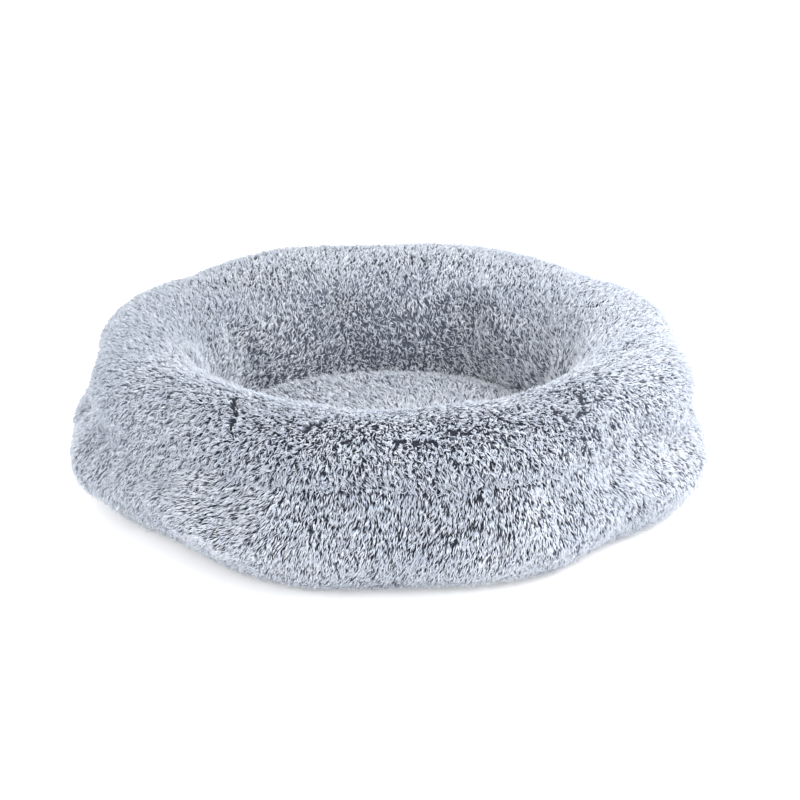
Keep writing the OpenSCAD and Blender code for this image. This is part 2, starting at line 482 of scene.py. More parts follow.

# The backing's near-black is painted shade between the tufts; it eases to a paler blue-grey to the left,
# to the right and inside the rim. Each is a measure, where the easing starts, where it is full and how
# strong it is.
shade_eased = []
for measure, none, full, share in ((apart.outputs["X"], -0.17, -0.26, 1.0),
                                   (apart.outputs["X"], 0.12, 0.26, 0.5),
                                   (from_middle.outputs["Value"], 0.215, 0.190, 0.7)):
    zone = nodes.new("ShaderNodeMapRange")
    zone.inputs["From Min"].default_value = none
    zone.inputs["From Max"].default_value = full
    zone.inputs["To Max"].default_value = share
    links.new(measure, zone.inputs["Value"])
    shade_eased.append(zone.outputs["Result"])
shade_lifted = nodes.new("ShaderNodeMix")
shade_lifted.data_type = "RGBA"
shade_lifted.inputs["B"].default_value = (0.12, 0.135, 0.175, 1.0)
links.new(greatest(nodes, links, shade_eased), shade_lifted.inputs["Factor"])
links.new(ramp.outputs["Color"], shade_lifted.inputs["A"])
links.new(shade_lifted.outputs["Result"], shader.inputs["Base Color"])

# The pile's colour runs from dark roots to frosted tips along each strand, and its dye lot, with painted
# shade on the left, across; both run over the strand's own map.
# The near-black at the roots is partly the fibre's own dark base and partly painted shade deep in the
# pile.
pile, nodes, links, shader = new_material("frosted_pile", 0.62)
shader.inputs["Sheen Weight"].default_value = 0.25
shader.inputs["Sheen Roughness"].default_value = 0.4
shader.inputs["Specular IOR Level"].default_value = 0.25
PILE_MAP = "OFBake"
strand_map = nodes.new("ShaderNodeUVMap")
strand_map.uv_map = PILE_MAP
split = nodes.new("ShaderNodeSeparateXYZ")
links.new(strand_map.outputs["UV"], split.inputs["Vector"])
deep = colour_ramp(nodes, [(0.0, (0.006, 0.009, 0.018)), (0.25, (0.043, 0.055, 0.095)),
                           (0.55, (0.375, 0.425, 0.52)), (1.0, (0.66, 0.71, 0.80))])
pale = colour_ramp(nodes, [(0.0, (0.008, 0.012, 0.022)), (0.22, (0.125, 0.15, 0.215)),
                           (0.50, (0.71, 0.75, 0.83)), (1.0, (0.93, 0.955, 0.965))])
blend = nodes.new("ShaderNodeMix")
blend.data_type = "RGBA"
links.new(split.outputs["Y"], deep.inputs["Fac"])
links.new(split.outputs["Y"], pale.inputs["Fac"])
links.new(split.outputs["X"], blend.inputs["Factor"])
links.new(deep.outputs["Color"], blend.inputs["A"])
links.new(pale.outputs["Color"], blend.inputs["B"])
links.new(blend.outputs["Result"], shader.inputs["Base Color"])

# Two strands, both closed, three-sided and of length 1: a long one, pointed at
# both ends, which can bend at its waist, and a plain short one for the underfur.
strand_waist = 0.48


def strand_blank(level, pointed_root):
    """The corners and faces of a strand that is thickest at some level."""
    bm = bmesh.new()
    bmesh.ops.create_cone(bm, segments=3, radius1=1.0, radius2=0.0, depth=1 - level, cap_ends=True)
    bmesh.ops.remove_doubles(bm, verts=bm.verts, dist=0.0001)
    bmesh.ops.rotate(bm, verts=bm.verts, cent=(0, 0, 0), matrix=Matrix.Rotation(math.radians(-90), 3, "Z"))
    bmesh.ops.translate(bm, verts=bm.verts, vec=(0, 0, (1 + level) / 2))
    if pointed_root:
        foot = [f for f in bm.faces if all(v.co.z < level + 0.001 for v in f.verts)]
        bmesh.ops.poke(bm, faces=foot)["verts"][0].co = Vector((0, 0, 0))
    bmesh.ops.recalc_face_normals(bm, faces=bm.faces)
    bm.verts.index_update()
    points = np.array([v.co for v in bm.verts])
    faces = np.array([[v.index for v in f.verts] for f in bm.faces])
    bm.free()
    return points, faces


underfur_length = 0.62
long_blank = strand_blank(strand_waist, True)
short_blank = strand_blank(0.0, False)


def unit(v):
    return v / np.maximum(np.linalg.norm(v, axis=-1, keepdims=True), 1e-9)


def scatter(mesh, per_square_mm, rng):
    """Random points on a panel, even by area, with the panel's smooth normals."""
    mesh.calc_loop_triangles()
    tris = np.zeros(len(mesh.loop_triangles) * 3, np.int32)
    mesh.loop_triangles.foreach_get("vertices", tris)
    tris = tris.reshape(-1, 3)
    co = positions(mesh).astype(float)
    normals = np.zeros(len(mesh.vertices) * 3, np.float32)
    mesh.vertices.foreach_get("normal", normals)
    normals = normals.reshape(-1, 3).astype(float)
    a, b, c = co[tris[:, 0]], co[tris[:, 1]], co[tris[:, 2]]
    area = np.linalg.norm(np.cross(b - a, c - a), axis=1) / 2
    count = int(area.sum() * 1e6 * per_square_mm)
    pick = rng.choice(len(tris), count, p=area / area.sum())
    u, v = rng.random(count), rng.random(count)
    flip = u + v > 1
    u[flip], v[flip] = 1 - u[flip], 1 - v[flip]
    w = 1 - u - v
    mix = np.stack([w, u, v], 1)[:, :, None]
    at = (co[tris[pick]] * mix).sum(1)
    n = (normals[tris[pick]] * mix).sum(1)
    return at, unit(n)


def drift(at, scale, seed):
    """Smooth noise between -1 and 1 at each point."""
    shift = Vector((seed * 3.7, seed * 1.3, seed * 2.1))
    return np.array([noise.noise(Vector(p) * scale + shift) for p in at])


def turned(direction, normal, angle):
    c, s = np.cos(angle)[:, None], np.sin(angle)[:, None]
    return direction * c + np.cross(normal, direction) * s


# How far the wall's pile is brushed aside from straight down, in degrees to the
# right as seen from outside, at some angles round the bed from the front.
comb = ((-180, 10), (-120, -15), (-85, 0), (-60, -8), (-38, -52), (-24, -46), (-16, -20), (5, -12),
        (25, -2), (45, 16), (70, 22), (110, 5), (180, 10))

# Places where the pile has parted. Each runs between two points, given as the
# angle from the front and the angle up round the rim's outer edge, and has a
# width in metres.
partings = (((-28.0, 34), (-34.5, 96), 0.0011), ((46.0, 90), (38.0, 44), 0.0009),
            ((1.5, 47), (8.0, 42), 0.0011), ((11.0, 52), (13.5, 48), 0.0010),
            ((33.5, 60), (35.5, 36), 0.0010), ((40.0, 30), (42.0, 6), 0.0011),
            ((36.5, 22), (38.0, 0), 0.0010), ((-12.0, 70), (-15.0, 56), 0.0011),
            ((69.0, 96), (72.0, 100), 0.0030), ((-38.0, 30), (-37.0, 14), 0.0010))

# The radius at which a parting's angle is turned into a length.
rim_arc = 0.262


def turn_of(at):
    return np.degrees(np.arctan2(at[:, 0], -at[:, 1]))


def parting_near(at):
    """How strongly each point is drawn aside by a parting, and which points lie in the gap."""
    radius = np.hypot(at[:, 0], at[:, 1])
    up = np.arctan2(at[:, 2] - rim_outer_centre[1], radius - rim_outer_centre[0]) * rim_round
    across = np.radians(turn_of(at)) * rim_arc
    aside, gap = np.zeros((len(at), 2)), np.zeros(len(at), bool)
    for (turn_a, up_a), (turn_b, up_b), wide in partings:
        a = np.array([math.radians(turn_a) * rim_arc, math.radians(up_a) * rim_round])
        b = np.array([math.radians(turn_b) * rim_arc, math.radians(up_b) * rim_round])
        line = b - a
        here = np.stack([across, up], 1)
        t = np.clip((here - a) @ line / (line @ line), 0, 1)
        wander = 0.0013 * np.sin(t * 11 + turn_a) + 0.0008 * np.sin(t * 27 + up_a)
        crooked = wander[:, None] * np.array([line[1], -line[0]]) / np.linalg.norm(line)
        off = here - (a + t[:, None] * line) - crooked
        far = np.linalg.norm(off, axis=1)
        share = np.exp(-(far / 0.0042) ** 2)
        aside += share[:, None] * off / np.maximum(far, 1e-6)[:, None]
        gap |= far < wide * (0.35 + 0.65 * np.sin(math.pi * np.clip(t, 0.08, 0.92)))
    return aside, gap & (radius > 0.215)


# The pile of each kind of panel: its length, the spacing of its tufts, strands
# and underfur to the square millimetre, how steeply it stands below and above
# its waist in degrees, its thickness, how far it swirls and ruffles in radians,
# and how much deeper its dye is.
PILE = {
    "wall": dict(length=0.0088, pitch=0.0021, density=0.288, under=0.25, lift=(58, 12), width=0.00053,
                 swirl=0.32, ruffle=0.17, dye=-0.09),
    "rim": dict(length=0.0080, pitch=0.0021, density=0.300, under=0.33, lift=(60, 18), width=0.00051,
                swirl=0.62, ruffle=0.44, dye=-0.22),
    "inner": dict(length=0.0095, pitch=0.0026, density=0.200, under=0.15, lift=(60, 18), width=0.00054,
                  swirl=0.5, ruffle=0.40, dye=0.0),
    "seat": dict(length=0.0095, pitch=0.0030, density=0.163, under=0.10, lift=(62, 24), width=0.00060,
                 swirl=0.9, ruffle=0.55, dye=0.0),
}


def lay_of_pile(at, n, kind, seed):
    """The way the nap runs: up inside, over the rim, down the wall and in whorls on the seat."""
    radial = np.zeros_like(at)
    radial[:, :2] = unit(at[:, :2])
    around = np.stack([-radial[:, 1], radial[:, 0], 0 * at[:, 0]], 1)
    down = np.tile([0.0, 0.0, -1.0], (len(at), 1))
    aside = 0.0
    if kind == "wall":
        want = down + radial * (0.9 * np.clip((0.035 - at[:, 2]) / 0.030, 0, 1))[:, None]
        aside = np.radians(np.interp(turn_of(at), [a for a, _ in comb], [b for _, b in comb]))
    elif kind == "rim":
        want = np.cross(around, n)
        aside = 0.5 * np.radians(np.interp(turn_of(at), [a for a, _ in comb], [b for _, b in comb]))
    elif kind == "inner":
        want = np.cross(around, n)
    else:
        want = around + radial * 0.7
    lay = unit(want - n * (want * n).sum(1, keepdims=True))
    if kind in ("wall", "rim"):
        aside_from, _ = parting_near(at)
        upward = unit(np.cross(n, -around))
        upward *= np.sign(upward[:, 2:] + 1e-9)
        lay = unit(lay + 1.4 * (around * aside_from[:, :1] + upward * aside_from[:, 1:]))
    spread = PILE[kind]["swirl"]
    swirl = spread * drift(at, 11.0, seed) + 0.6 * spread * drift(at, 38.0, seed + 1)
    return turned(lay, n, swirl + aside)


def matted(at):
    """How far the pile draws together into locks: little at the left side, most at the front."""
    turn = turn_of(at)
    front = np.exp(-((turn - 4) / 36) ** 2)
    return np.clip(0.16 + 0.66 * front + 0.22 * drift(at, 14.0, 3.0) - 0.10 * (at[:, 0] < -0.2), 0.0, 1.0)


zip_opening_top = 0.0270


def keep_clear(points, name):
    """No strand goes through the floor, and none hangs into the way of the zip."""
    height = points[:, :, 2]
    height[:] = np.maximum(height, 0.0012 + 0.0006 * np.sin(points[:, :, 0] * 900))
    if name.startswith("wall_back"):
        turn = np.abs(np.degrees(np.arctan2(points[:, :, 0], points[:, :, 1])))
        low = (height < zip_opening_top) & (turn < 44.6)
        height[:] = np.where(low, zip_opening_top - 0.2 * (zip_opening_top - height), height)
    return points


def stamp(name, crops):
    """One mesh of many strands, each with its dye lot and painted shade across its map and its length up
    it.
    """
    co, tris, corner_map, base = [], [], [], 0
    for points, shape_faces, across, up in crops:
        count, corners = points.shape[:2]
        faces = (shape_faces[None] + (np.arange(count) * corners)[:, None, None]).reshape(-1, 3)
        co.append(points.reshape(-1, 3))
        corner_map.append(np.stack([across.ravel()[faces.ravel()], up.ravel()[faces.ravel()]], 1))
        tris.append(faces + base)
        base += count * corners
    co, tris, corner_map = np.concatenate(co), np.concatenate(tris), np.concatenate(corner_map)
    mesh = bpy.data.meshes.new(name)
    mesh.vertices.add(len(co))
    mesh.vertices.foreach_set("co", co.astype(np.float32).ravel())
    mesh.loops.add(tris.size)
    mesh.loops.foreach_set("vertex_index", tris.astype(np.int32).ravel())
    mesh.polygons.add(len(tris))
    mesh.polygons.foreach_set("loop_start", np.arange(0, tris.size, 3, dtype=np.int32))
    mesh.polygons.foreach_set("use_smooth", np.ones(len(tris), bool))
    mesh.update(calc_edges=True)
    mesh.uv_layers.new(name=PILE_MAP).data.foreach_set("uv", corner_map.astype(np.float32).ravel())
    mesh.materials.append(pile)
    return mesh


def grow_pile(name, mesh, kind, seed):
    """Strands rooted on a panel. Neighbours lean together into tufts, as brushed plush does."""
    style = PILE[kind]
    rng = np.random.default_rng(seed)
    tuft_at, tuft_n = scatter(mesh, 1 / (style["pitch"] * 1000) ** 2, rng)
    tree = KDTree(len(tuft_at))
    for index, p in enumerate(tuft_at):
        tree.insert(Vector(p), index)
    tree.balance()

    tuft_lay = lay_of_pile(tuft_at, tuft_n, kind, 1.0)
    tuft_lay = turned(tuft_lay, tuft_n, rng.normal(0, style["ruffle"], len(tuft_at)))
    tuft_bend = rng.normal(0, style["ruffle"], len(tuft_at))
    reach = style["length"] * (1 + rng.normal(0, 0.10, len(tuft_at)) + 0.10 * drift(tuft_at, 25.0, 4.0))
    if kind == "wall":
        reach = reach * (1 + 0.50 * np.clip((0.030 - tuft_at[:, 2]) / 0.024, 0, 1))
    first = np.radians(style["lift"][0] + rng.normal(0, 8, len(tuft_at)))
    last = np.radians(style["lift"][1] + rng.normal(0, 10, len(tuft_at)))
    tuft_dye_and_shade = 0.52 + 0.26 * drift(tuft_at, 9.0, 8.0) + 0.14 * drift(tuft_at, 26.0, 6.0)
    tuft_dye_and_shade += rng.normal(0, 0.16, len(tuft_at)) + style["dye"]
    # Painted shade: the tufts are darker towards the bed's left, the side away from the light.
    tuft_dye_and_shade -= 0.14 * np.clip((-tuft_at[:, 0] - 0.10) / 0.15, 0, 1)
    # The wall's tufts are also darker towards the right.
    if kind == "wall":
        tuft_dye_and_shade -= 0.10 * np.clip((tuft_at[:, 0] - 0.02) / 0.12, 0, 1)
    lock = matted(tuft_at) * (0.75 if kind == "rim" else 1.0)

    def path(root, normal, lay, length, rise, fall, bend):
        length, rise, fall = length[:, None], rise[:, None], fall[:, None]
        waist = root + length * strand_waist * (normal * np.sin(rise) + lay * np.cos(rise))
        tip_lay = turned(lay, normal, bend)
        tip = waist + length * 0.55 * (normal * np.sin(fall) + tip_lay * np.cos(fall))
        return waist, tip

    tuft_waist, tuft_tip = path(tuft_at, tuft_n, tuft_lay, reach, first, last, tuft_bend)

    def strands(density, blank, short):
        at, n = scatter(mesh, density * (0.84 if "back" in name else 1.0), rng)
        _, gap = parting_near(at)
        bare = gap if kind in ("wall", "rim") else np.zeros(len(at), bool)
        if name.startswith("wall_back"):
            bare |= (at[:, 2] < 0.0325) & (np.hypot(at[:, 0], at[:, 1]) < 0.282)
        at, n = at[~bare], n[~bare]
        tuft = np.array([tree.find(Vector(p))[1] for p in at])
        own_lay = turned(tuft_lay[tuft], n, rng.normal(0, 0.22, len(at)))
        own_lay = unit(own_lay - n * (own_lay * n).sum(1, keepdims=True))
        own_reach = short * reach[tuft] * (1 + rng.normal(0, 0.10, len(at)))
        waist, tip = path(at, n, own_lay, own_reach, first[tuft] + rng.normal(0, 0.10, len(at)),
                          last[tuft] + rng.normal(0, 0.15, len(at)),
                          tuft_bend[tuft] + rng.normal(0, 0.25, len(at)))
        offset = at - tuft_at[tuft]
        draw_waist = (0.30 * lock[tuft])[:, None]
        draw_tip = (0.72 * lock[tuft])[:, None]
        if short == 1:
            waist = waist * (1 - draw_waist) + (tuft_waist[tuft] + offset * 0.35) * draw_waist
            tip = tip * (1 - draw_tip) + (tuft_tip[tuft] + offset * 0.10) * draw_tip
        shape, faces = blank
        t = shape[:, 2]
        along = unit(tip - at)
        side = unit(np.cross(along, n) + rng.normal(0, 0.15, at.shape))
        third = unit(np.cross(along, side))
        if short == 1:
            low = t < strand_waist + 0.01
            share_low = np.clip(t / strand_waist, 0, 1)[None, :, None]
            share_high = np.clip((t - strand_waist) / (1 - strand_waist), 0, 1)[None, :, None]
            lower = at[:, None, :] * (1 - share_low) + waist[:, None, :] * share_low
            upper = waist[:, None, :] * (1 - share_high) + tip[:, None, :] * share_high
            centre = np.where(low[None, :, None], lower, upper)
        else:
            centre = at[:, None, :] * (1 - t[None, :, None]) + tip[:, None, :] * t[None, :, None]
        width = style["width"] * (1 + rng.normal(0, 0.15, len(at)))[:, None, None]
        points = centre + width * (shape[None, :, 0, None] * side[:, None, :]
                                   + shape[None, :, 1, None] * third[:, None, :])
        # A strand's tone across the map: its tuft's dye lot and painted shade, with a little of its own.
        dye = np.clip(tuft_dye_and_shade[tuft] + rng.normal(0, 0.10, len(at)), 0.03, 0.95)
        points = keep_clear(points, name)
        across = np.clip(dye[:, None] + 0.02 * shape[None, :, 0], 0, 1)
        # Strands of loose pile start part way up the ramp, so their roots carry less of the painted shade.
        loose = 0.42 * (np.clip(1 - lock[tuft], 0, 1) ** 1.5)[:, None]
        # The underfur stops part way up the ramp, so it stays darker: painted shade deep in the pile.
        up = np.clip(t[None, :] * short * (1 - loose) + loose, 0.01, 0.99)
        return points, faces, across, up

    return stamp(name, [strands(style["density"], long_blank, 1),
                        strands(style["under"], short_blank, underfur_length)])


def thicken(obj, thickness, offset):
    shell = obj.modifiers.new("thickness", "SOLIDIFY")
    shell.thickness = thickness
    shell.offset = offset


parts_of = {"wall": (WALL,), "rim": (RIM,), "inner": (INNER,)}
for index, quarter in enumerate(quarters):
    for row, kind in enumerate(parts_of):
        node = kind + "_" + quarter
        mesh = mesh_of(cut_from_ring(quarter, parts_of[kind]), node + "_backing", backing)
        fur = grow_pile(node + "_pile", mesh, kind, 10 * index + row)
        panel = link(node + "_backing", mesh)
        thicken(panel, backing_thick, 1.0)
        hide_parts(node)
        fur_piece = link(node + "_pile", fur)
bpy.data.objects.remove(ring)

# ---------------------------------------------------------------------------
# The seat: a round pad of fibre with the same plush stretched over it.

seat_radius = 0.186
seat_under = 0.0045
seat_over = 0.044
seat_rounding = 0.010


def widen(bm, loop):
    """Adds a row of faces beyond an open loop. It gives back the new vertices and the new loop."""
    made = bmesh.ops.extrude_edge_only(bm, edges=loop)["geom"]
    verts = [g for g in made if isinstance(g, bmesh.types.BMVert)]
    return verts, [g for g in made if isinstance(g, bmesh.types.BMEdge) and g.is_boundary]


def disc(first_radius, segments, radii):
    """A flat disc of rings, facing up. It gives back the shape and its outer loop."""
    bm = bmesh.new()
    bmesh.ops.create_circle(bm, cap_ends=False, segments=segments, radius=first_radius)
    loop = bm.edges[:]
    bmesh.ops.contextual_create(bm, geom=loop)
    for radius in radii:
        verts, loop = widen(bm, loop)
        for v in verts:
            v.co = v.co.normalized() * radius
    bmesh.ops.recalc_face_normals(bm, faces=bm.faces)
    if sum(f.normal.z for f in bm.faces) < 0:
        bmesh.ops.reverse_faces(bm, faces=bm.faces)
    for face in bm.faces:
        face.smooth = True
    return bm, loop


bm, low_loop = disc(0.012, 96, (0.035, 0.06, 0.085, 0.11, 0.135, 0.155, 0.170, 0.180, seat_radius))
for v in bm.verts:
    r = math.hypot(v.co.x, v.co.y)
    edge = smooth_step(r, 0.150, seat_radius)
    v.co.z = seat_over + 0.004 * (1 - (r / seat_radius) ** 2) - seat_rounding * edge ** 2 \
        + 0.003 * noise.noise(Vector((v.co.x * 14, v.co.y * 14, 7.0)))
seat_top = bpy.data.meshes.new("seat_plush_backing")
bm.to_mesh(seat_top)

# The pad's side is a little barrelled. It lies just inside the plush.
for drop, radius in ((0.008, 0.1863), (0.016, 0.1868), (0.026, 0.1863)):
    verts, low_loop = widen(bm, low_loop)
    for v in verts:
        side = Vector((v.co.x, v.co.y, 0)).normalized() * radius
        v.co = Vector((side.x, side.y, seat_over - seat_rounding - drop))
verts, low_loop = widen(bm, low_loop)
for v in verts:
    v.co = Vector((v.co.x * 0.985, v.co.y * 0.985, seat_under))
bmesh.ops.contextual_create(bm, geom=low_loop)
bmesh.ops.recalc_face_normals(bm, faces=bm.faces)
for v in bm.verts:
    if v.co.z > 0.02:
        v.co.z -= 0.0016
pad = link("seat_stuffing", mesh_of(bm, "seat_stuffing", fibre))
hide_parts("seat_pad")

seat_top.materials.append(backing)
seat_fur = grow_pile("seat_plush_pile", seat_top, "seat", 77)
seat = link("seat_plush_backing", seat_top)
thicken(seat, backing_thick, 1.0)
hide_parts("seat_plush")
seat_pile = link("seat_plush_pile", seat_fur)

# ---------------------------------------------------------------------------
# The base: a disc of woven polyester sewn to the walls, with its edge turned
# up, a row of lockstitches near the edge and moulded rubber dots for grip.

base_radius = 0.2635
base_under = 0.0011
base_thick = 0.0011


def base_edge(from_front):
    """The base's radius at an angle. It follows the ring's foot, and at the back it reaches the zip."""
    away = abs(math.degrees(math.atan2(math.sin(from_front), math.cos(from_front))))
    sewn_in = smooth_step(away, 128, 137)
    return swell(0.252, from_front, 0.004) * (1 - sewn_in) + base_radius * sewn_in


woven, nodes, links, shader = new_material("woven_base_cloth", 0.85)
threads = []
for direction in ("X", "Y"):
    wave = texture(nodes, links, "Wave", {"Scale": 260.0, "Distortion": 0.6})
    wave.bands_direction = direction
    threads.append(wave.outputs["Fac"])
weave = greatest(nodes, links, threads)
handled = texture(nodes, links, "Noise", {"Scale": 14.0, "Detail": 4.0})
tone = nodes.new("ShaderNodeMath")
tone.operation = "MULTIPLY_ADD"
tone.inputs[1].default_value = 0.6
links.new(weave, tone.inputs[0])
links.new(handled.outputs["Fac"], tone.inputs[2])
tint(nodes, links, shader, tone.outputs["Value"],
     [(0.35, (0.060, 0.066, 0.080)), (0.923, (0.150, 0.160, 0.185))])
relief(nodes, links, shader, weave, 0.35, 0.0004)

bm, _ = disc(0.02, 144, (0.06, 0.10, 0.14, 0.18, 0.215, 0.240, 0.250, 0.2555, 0.2600, base_radius))
for v in bm.verts:
    r = math.hypot(v.co.x, v.co.y)
    turn = math.atan2(v.co.y, v.co.x)
    pucker = 0.00012 * math.sin(72 * turn) * smooth_step(r, 0.235, 0.258)
    v.co.z = base_under + 0.0022 * smooth_step(r, 0.2585, base_radius) + pucker + 0.00012
    drawn = (base_edge(math.atan2(v.co.x, -v.co.y)) - base_radius) * smooth_step(r, 0.19, base_radius)
    v.co.x *= 1 + drawn / r
    v.co.y *= 1 + drawn / r
base = link("base_cloth_sheet", mesh_of(bm, "base_cloth_sheet", woven))
thicken(base, base_thick, 1.0)
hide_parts("base_cloth")

thread, nodes, links, shader = new_material("sewing_thread", 0.6)
twist = texture(nodes, links, "Wave", {"Scale": 900.0, "Distortion": 1.0})
tint(nodes, links, shader, twist.outputs["Fac"], [(0.0, (0.20, 0.22, 0.26)), (1.0, (0.42, 0.45, 0.51))])

stitch_blank = bmesh.new()
bmesh.ops.create_uvsphere(stitch_blank, u_segments=6, v_segments=4, radius=1.0)
bmesh.ops.rotate(stitch_blank, verts=stitch_blank.verts, cent=(0, 0, 0),
                 matrix=Matrix.Rotation(math.radians(90), 3, "Y"))
bmesh.ops.scale(stitch_blank, verts=stitch_blank.verts, vec=(0.00145, 0.00032, 0.00026))


def row_of(name, blank, places, material):
    """Copies of a blank, each at a point with its X along the row and its Z standing off the cloth."""
    blank.verts.ensure_lookup_table()
    shape = np.array([v.co for v in blank.verts])
    loops = [[v.index for v in f.verts] for f in blank.faces]
    points, faces = [], []
    for at, along, off in places:
        across = np.cross(off, along / np.linalg.norm(along))
        points.append(at + shape[:, :1] * along + shape[:, 1:2] * across + shape[:, 2:] * off)
        faces += [[i + (len(points) - 1) * len(shape) for i in loop] for loop in loops]
    mesh = bpy.data.meshes.new(name)
    mesh.from_pydata(np.concatenate(points).tolist(), [], faces)
    mesh.polygons.foreach_set("use_smooth", [True] * len(faces))
    mesh.materials.append(material)
    return mesh


# The zip lies on an arc just above the base. The frame gives the place of the
# slider's pivot, which stands off that arc.
pivot_out = 0.0040
pivot = next(joint for joint in frame["joints"] if joint["name"] == "pull_turn")["pos_m"]
zip_radius = round(math.hypot(pivot[0], pivot[1]) - pivot_out, 6)


def places_round(radius_at, height, pitch, start, end, facing=None):
    """Places along an arc round the bed, each facing outwards if nothing else is said."""
    count = int(zip_radius * math.radians(end - start) / pitch)
    places = []
    for k in range(count):
        a = math.radians(start + (end - start) * (k + 0.5) / count)
        radial = np.array([math.cos(a), math.sin(a), 0.0])
        along = np.array([-math.sin(a), math.cos(a), 0.0])
        at = radial * radius_at(a) + np.array([0, 0, height])
        places.append((at, along, radial if facing is None else facing))
    return places


stitch_pitch = 0.0040
seam_inset = 0.009
seam = places_round(lambda a: base_edge(a + math.pi / 2) - seam_inset, 0.00115, stitch_pitch, 0, 360,
                    np.array([0.0, 0.0, -1.0]))
base_stitches = row_of("base_stitches", stitch_blank, seam, thread)
link("base_stitches", base_stitches)

rubber, nodes, links, shader = new_material("moulded_rubber", 0.7)
grain = texture(nodes, links, "Noise", {"Scale": 900.0, "Detail": 3.0})
tint(nodes, links, shader, grain.outputs["Fac"],
     [(0.3, (0.018, 0.019, 0.022)), (0.7, (0.040, 0.042, 0.048))])
relief(nodes, links, shader, grain.outputs["Fac"], 0.3, 0.0002)

dot_rings = 3
dots_per_ring = 6
dot_pitch = 0.080
dot_radius = 0.0050
dot_height = 0.0013
bm = bmesh.new()
for ring_number in range(1, dot_rings + 1):
    for k in range(ring_number * dots_per_ring):
        angle = 2 * math.pi * k / (ring_number * dots_per_ring)
        at = Vector((math.cos(angle), math.sin(angle), 0)) * ring_number * dot_pitch
        dot = bmesh.ops.create_cone(bm, cap_ends=True, segments=28, radius1=dot_radius - 0.0003,
                                    radius2=dot_radius, depth=dot_height)
        bmesh.ops.translate(bm, verts=dot["verts"], vec=at + Vector((0, 0, dot_height / 2)))
rims = [e for e in bm.edges if all(v.co.z < 0.0001 for v in e.verts)]
bmesh.ops.bevel(bm, geom=rims, offset=0.0006, segments=3, affect="EDGES", profile=0.5)
for face in bm.faces:
    face.smooth = len(face.verts) < 6
dots = link("grip_dots_moulded", mesh_of(bm, "grip_dots_moulded", rubber))
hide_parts("grip_dots")

# ---------------------------------------------------------------------------
# The zip at the back, under the turned hem: two woven tapes lockstitched to the
# cover, two rows of wound nylon coil and a pressed stop at each end.

zip_level = pivot[2]
tape_start, tape_end = 45.4, 134.6
coil_start, coil_end = 50.5, 129.8
tape_thick = 0.0008

tape_weave, nodes, links, shader = new_material("zip_tape_weave", 0.8)
tape_map = nodes.new("ShaderNodeUVMap")
tape_map.uv_map = "along_tape"
ribs = texture(nodes, links, "Brick", {"Scale": 1.0, "Brick Width": 0.0016, "Row Height": 0.0007,
                                       "Mortar Size": 0.00012, "Color1": (0.155, 0.170, 0.210, 1.0),
                                       "Color2": (0.205, 0.220, 0.265, 1.0),
                                       "Mortar": (0.060, 0.068, 0.090, 1.0)}, tape_map.outputs["UV"])
links.new(ribs.outputs["Color"], shader.inputs["Base Color"])
relief(nodes, links, shader, ribs.outputs["Fac"], 0.5, 0.0002).invert = True


def tape(name, low, high, node):
    """One woven tape, wavy between its stitches. Past the stops it widens to meet the other."""
    bm = bmesh.new()
    bmesh.ops.create_grid(bm, x_segments=150, y_segments=5, size=0.5)
    uv = bm.loops.layers.uv.new("along_tape")
    length = zip_radius * math.radians(tape_end - tape_start)
    for face in bm.faces:
        face.smooth = True
        for corner in face.loops:
            corner[uv].uv = ((corner.vert.co.x + 0.5) * length, (corner.vert.co.y + 0.5) * (high - low))
    for v in bm.verts:
        angle = math.radians(tape_end + (tape_start - tape_end) * (v.co.x + 0.5))
        share = v.co.y + 0.5
        radius = zip_radius + 0.00022 * math.sin(70 * angle) * math.sin(math.pi * share)
        past_stop = smooth_step(abs(math.degrees(angle) - 90), 41.3, 42.5)
        bottom = low + (zip_level + 0.0001 - low) * past_stop if low > zip_level else low
        top = high + (zip_level - 0.0001 - high) * past_stop if high < zip_level else high
        v.co = (radius * math.cos(angle), radius * math.sin(angle), bottom + (top - bottom) * share)
    bm.normal_update()
    if sum(f.calc_center_median().normalized().dot(f.normal) for f in bm.faces) < 0:
        bmesh.ops.reverse_faces(bm, faces=bm.faces)
    obj = link(name, mesh_of(bm, name, tape_weave))
    thicken(obj, tape_thick, 0.0)
    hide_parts(node)


tape("zip_tape_lower_woven", 0.0031, 0.0137, "zip_tape_lower")
tape("zip_tape_upper_woven", 0.0193, 0.0300, "zip_tape_upper")

# A row of stitches along the outer edge of each tape, and a bar tack of close
# upright loops past each stop. All lie on the face of the tape.
rows = []
for height in (0.0056, 0.0275):
    rows += places_round(lambda a: zip_radius + 0.00045, height, 0.0032, tape_start + 0.4, tape_end - 0.4)
tack_wide = 1.2
tack_stretch = np.array([0.0, 0.0, 2.4])
for start in (tape_start + 1.7, tape_end - 2.9):
    loops = places_round(lambda a: zip_radius + 0.00055, zip_level, 0.0006, start, start + tack_wide)
    rows += [(at, tack_stretch, off) for at, _, off in loops]
zip_stitches = row_of("zip_stitches", stitch_blank, rows, thread)
stitch_blank.free()
link("zip_stitches", zip_stitches)

nylon, nodes, links, shader = new_material("nylon_coil", 0.38)
milky = texture(nodes, links, "Noise", {"Scale": 240.0})
tint(nodes, links, shader, milky.outputs["Fac"], [(0.3, (0.17, 0.19, 0.23)), (0.7, (0.27, 0.29, 0.34))])

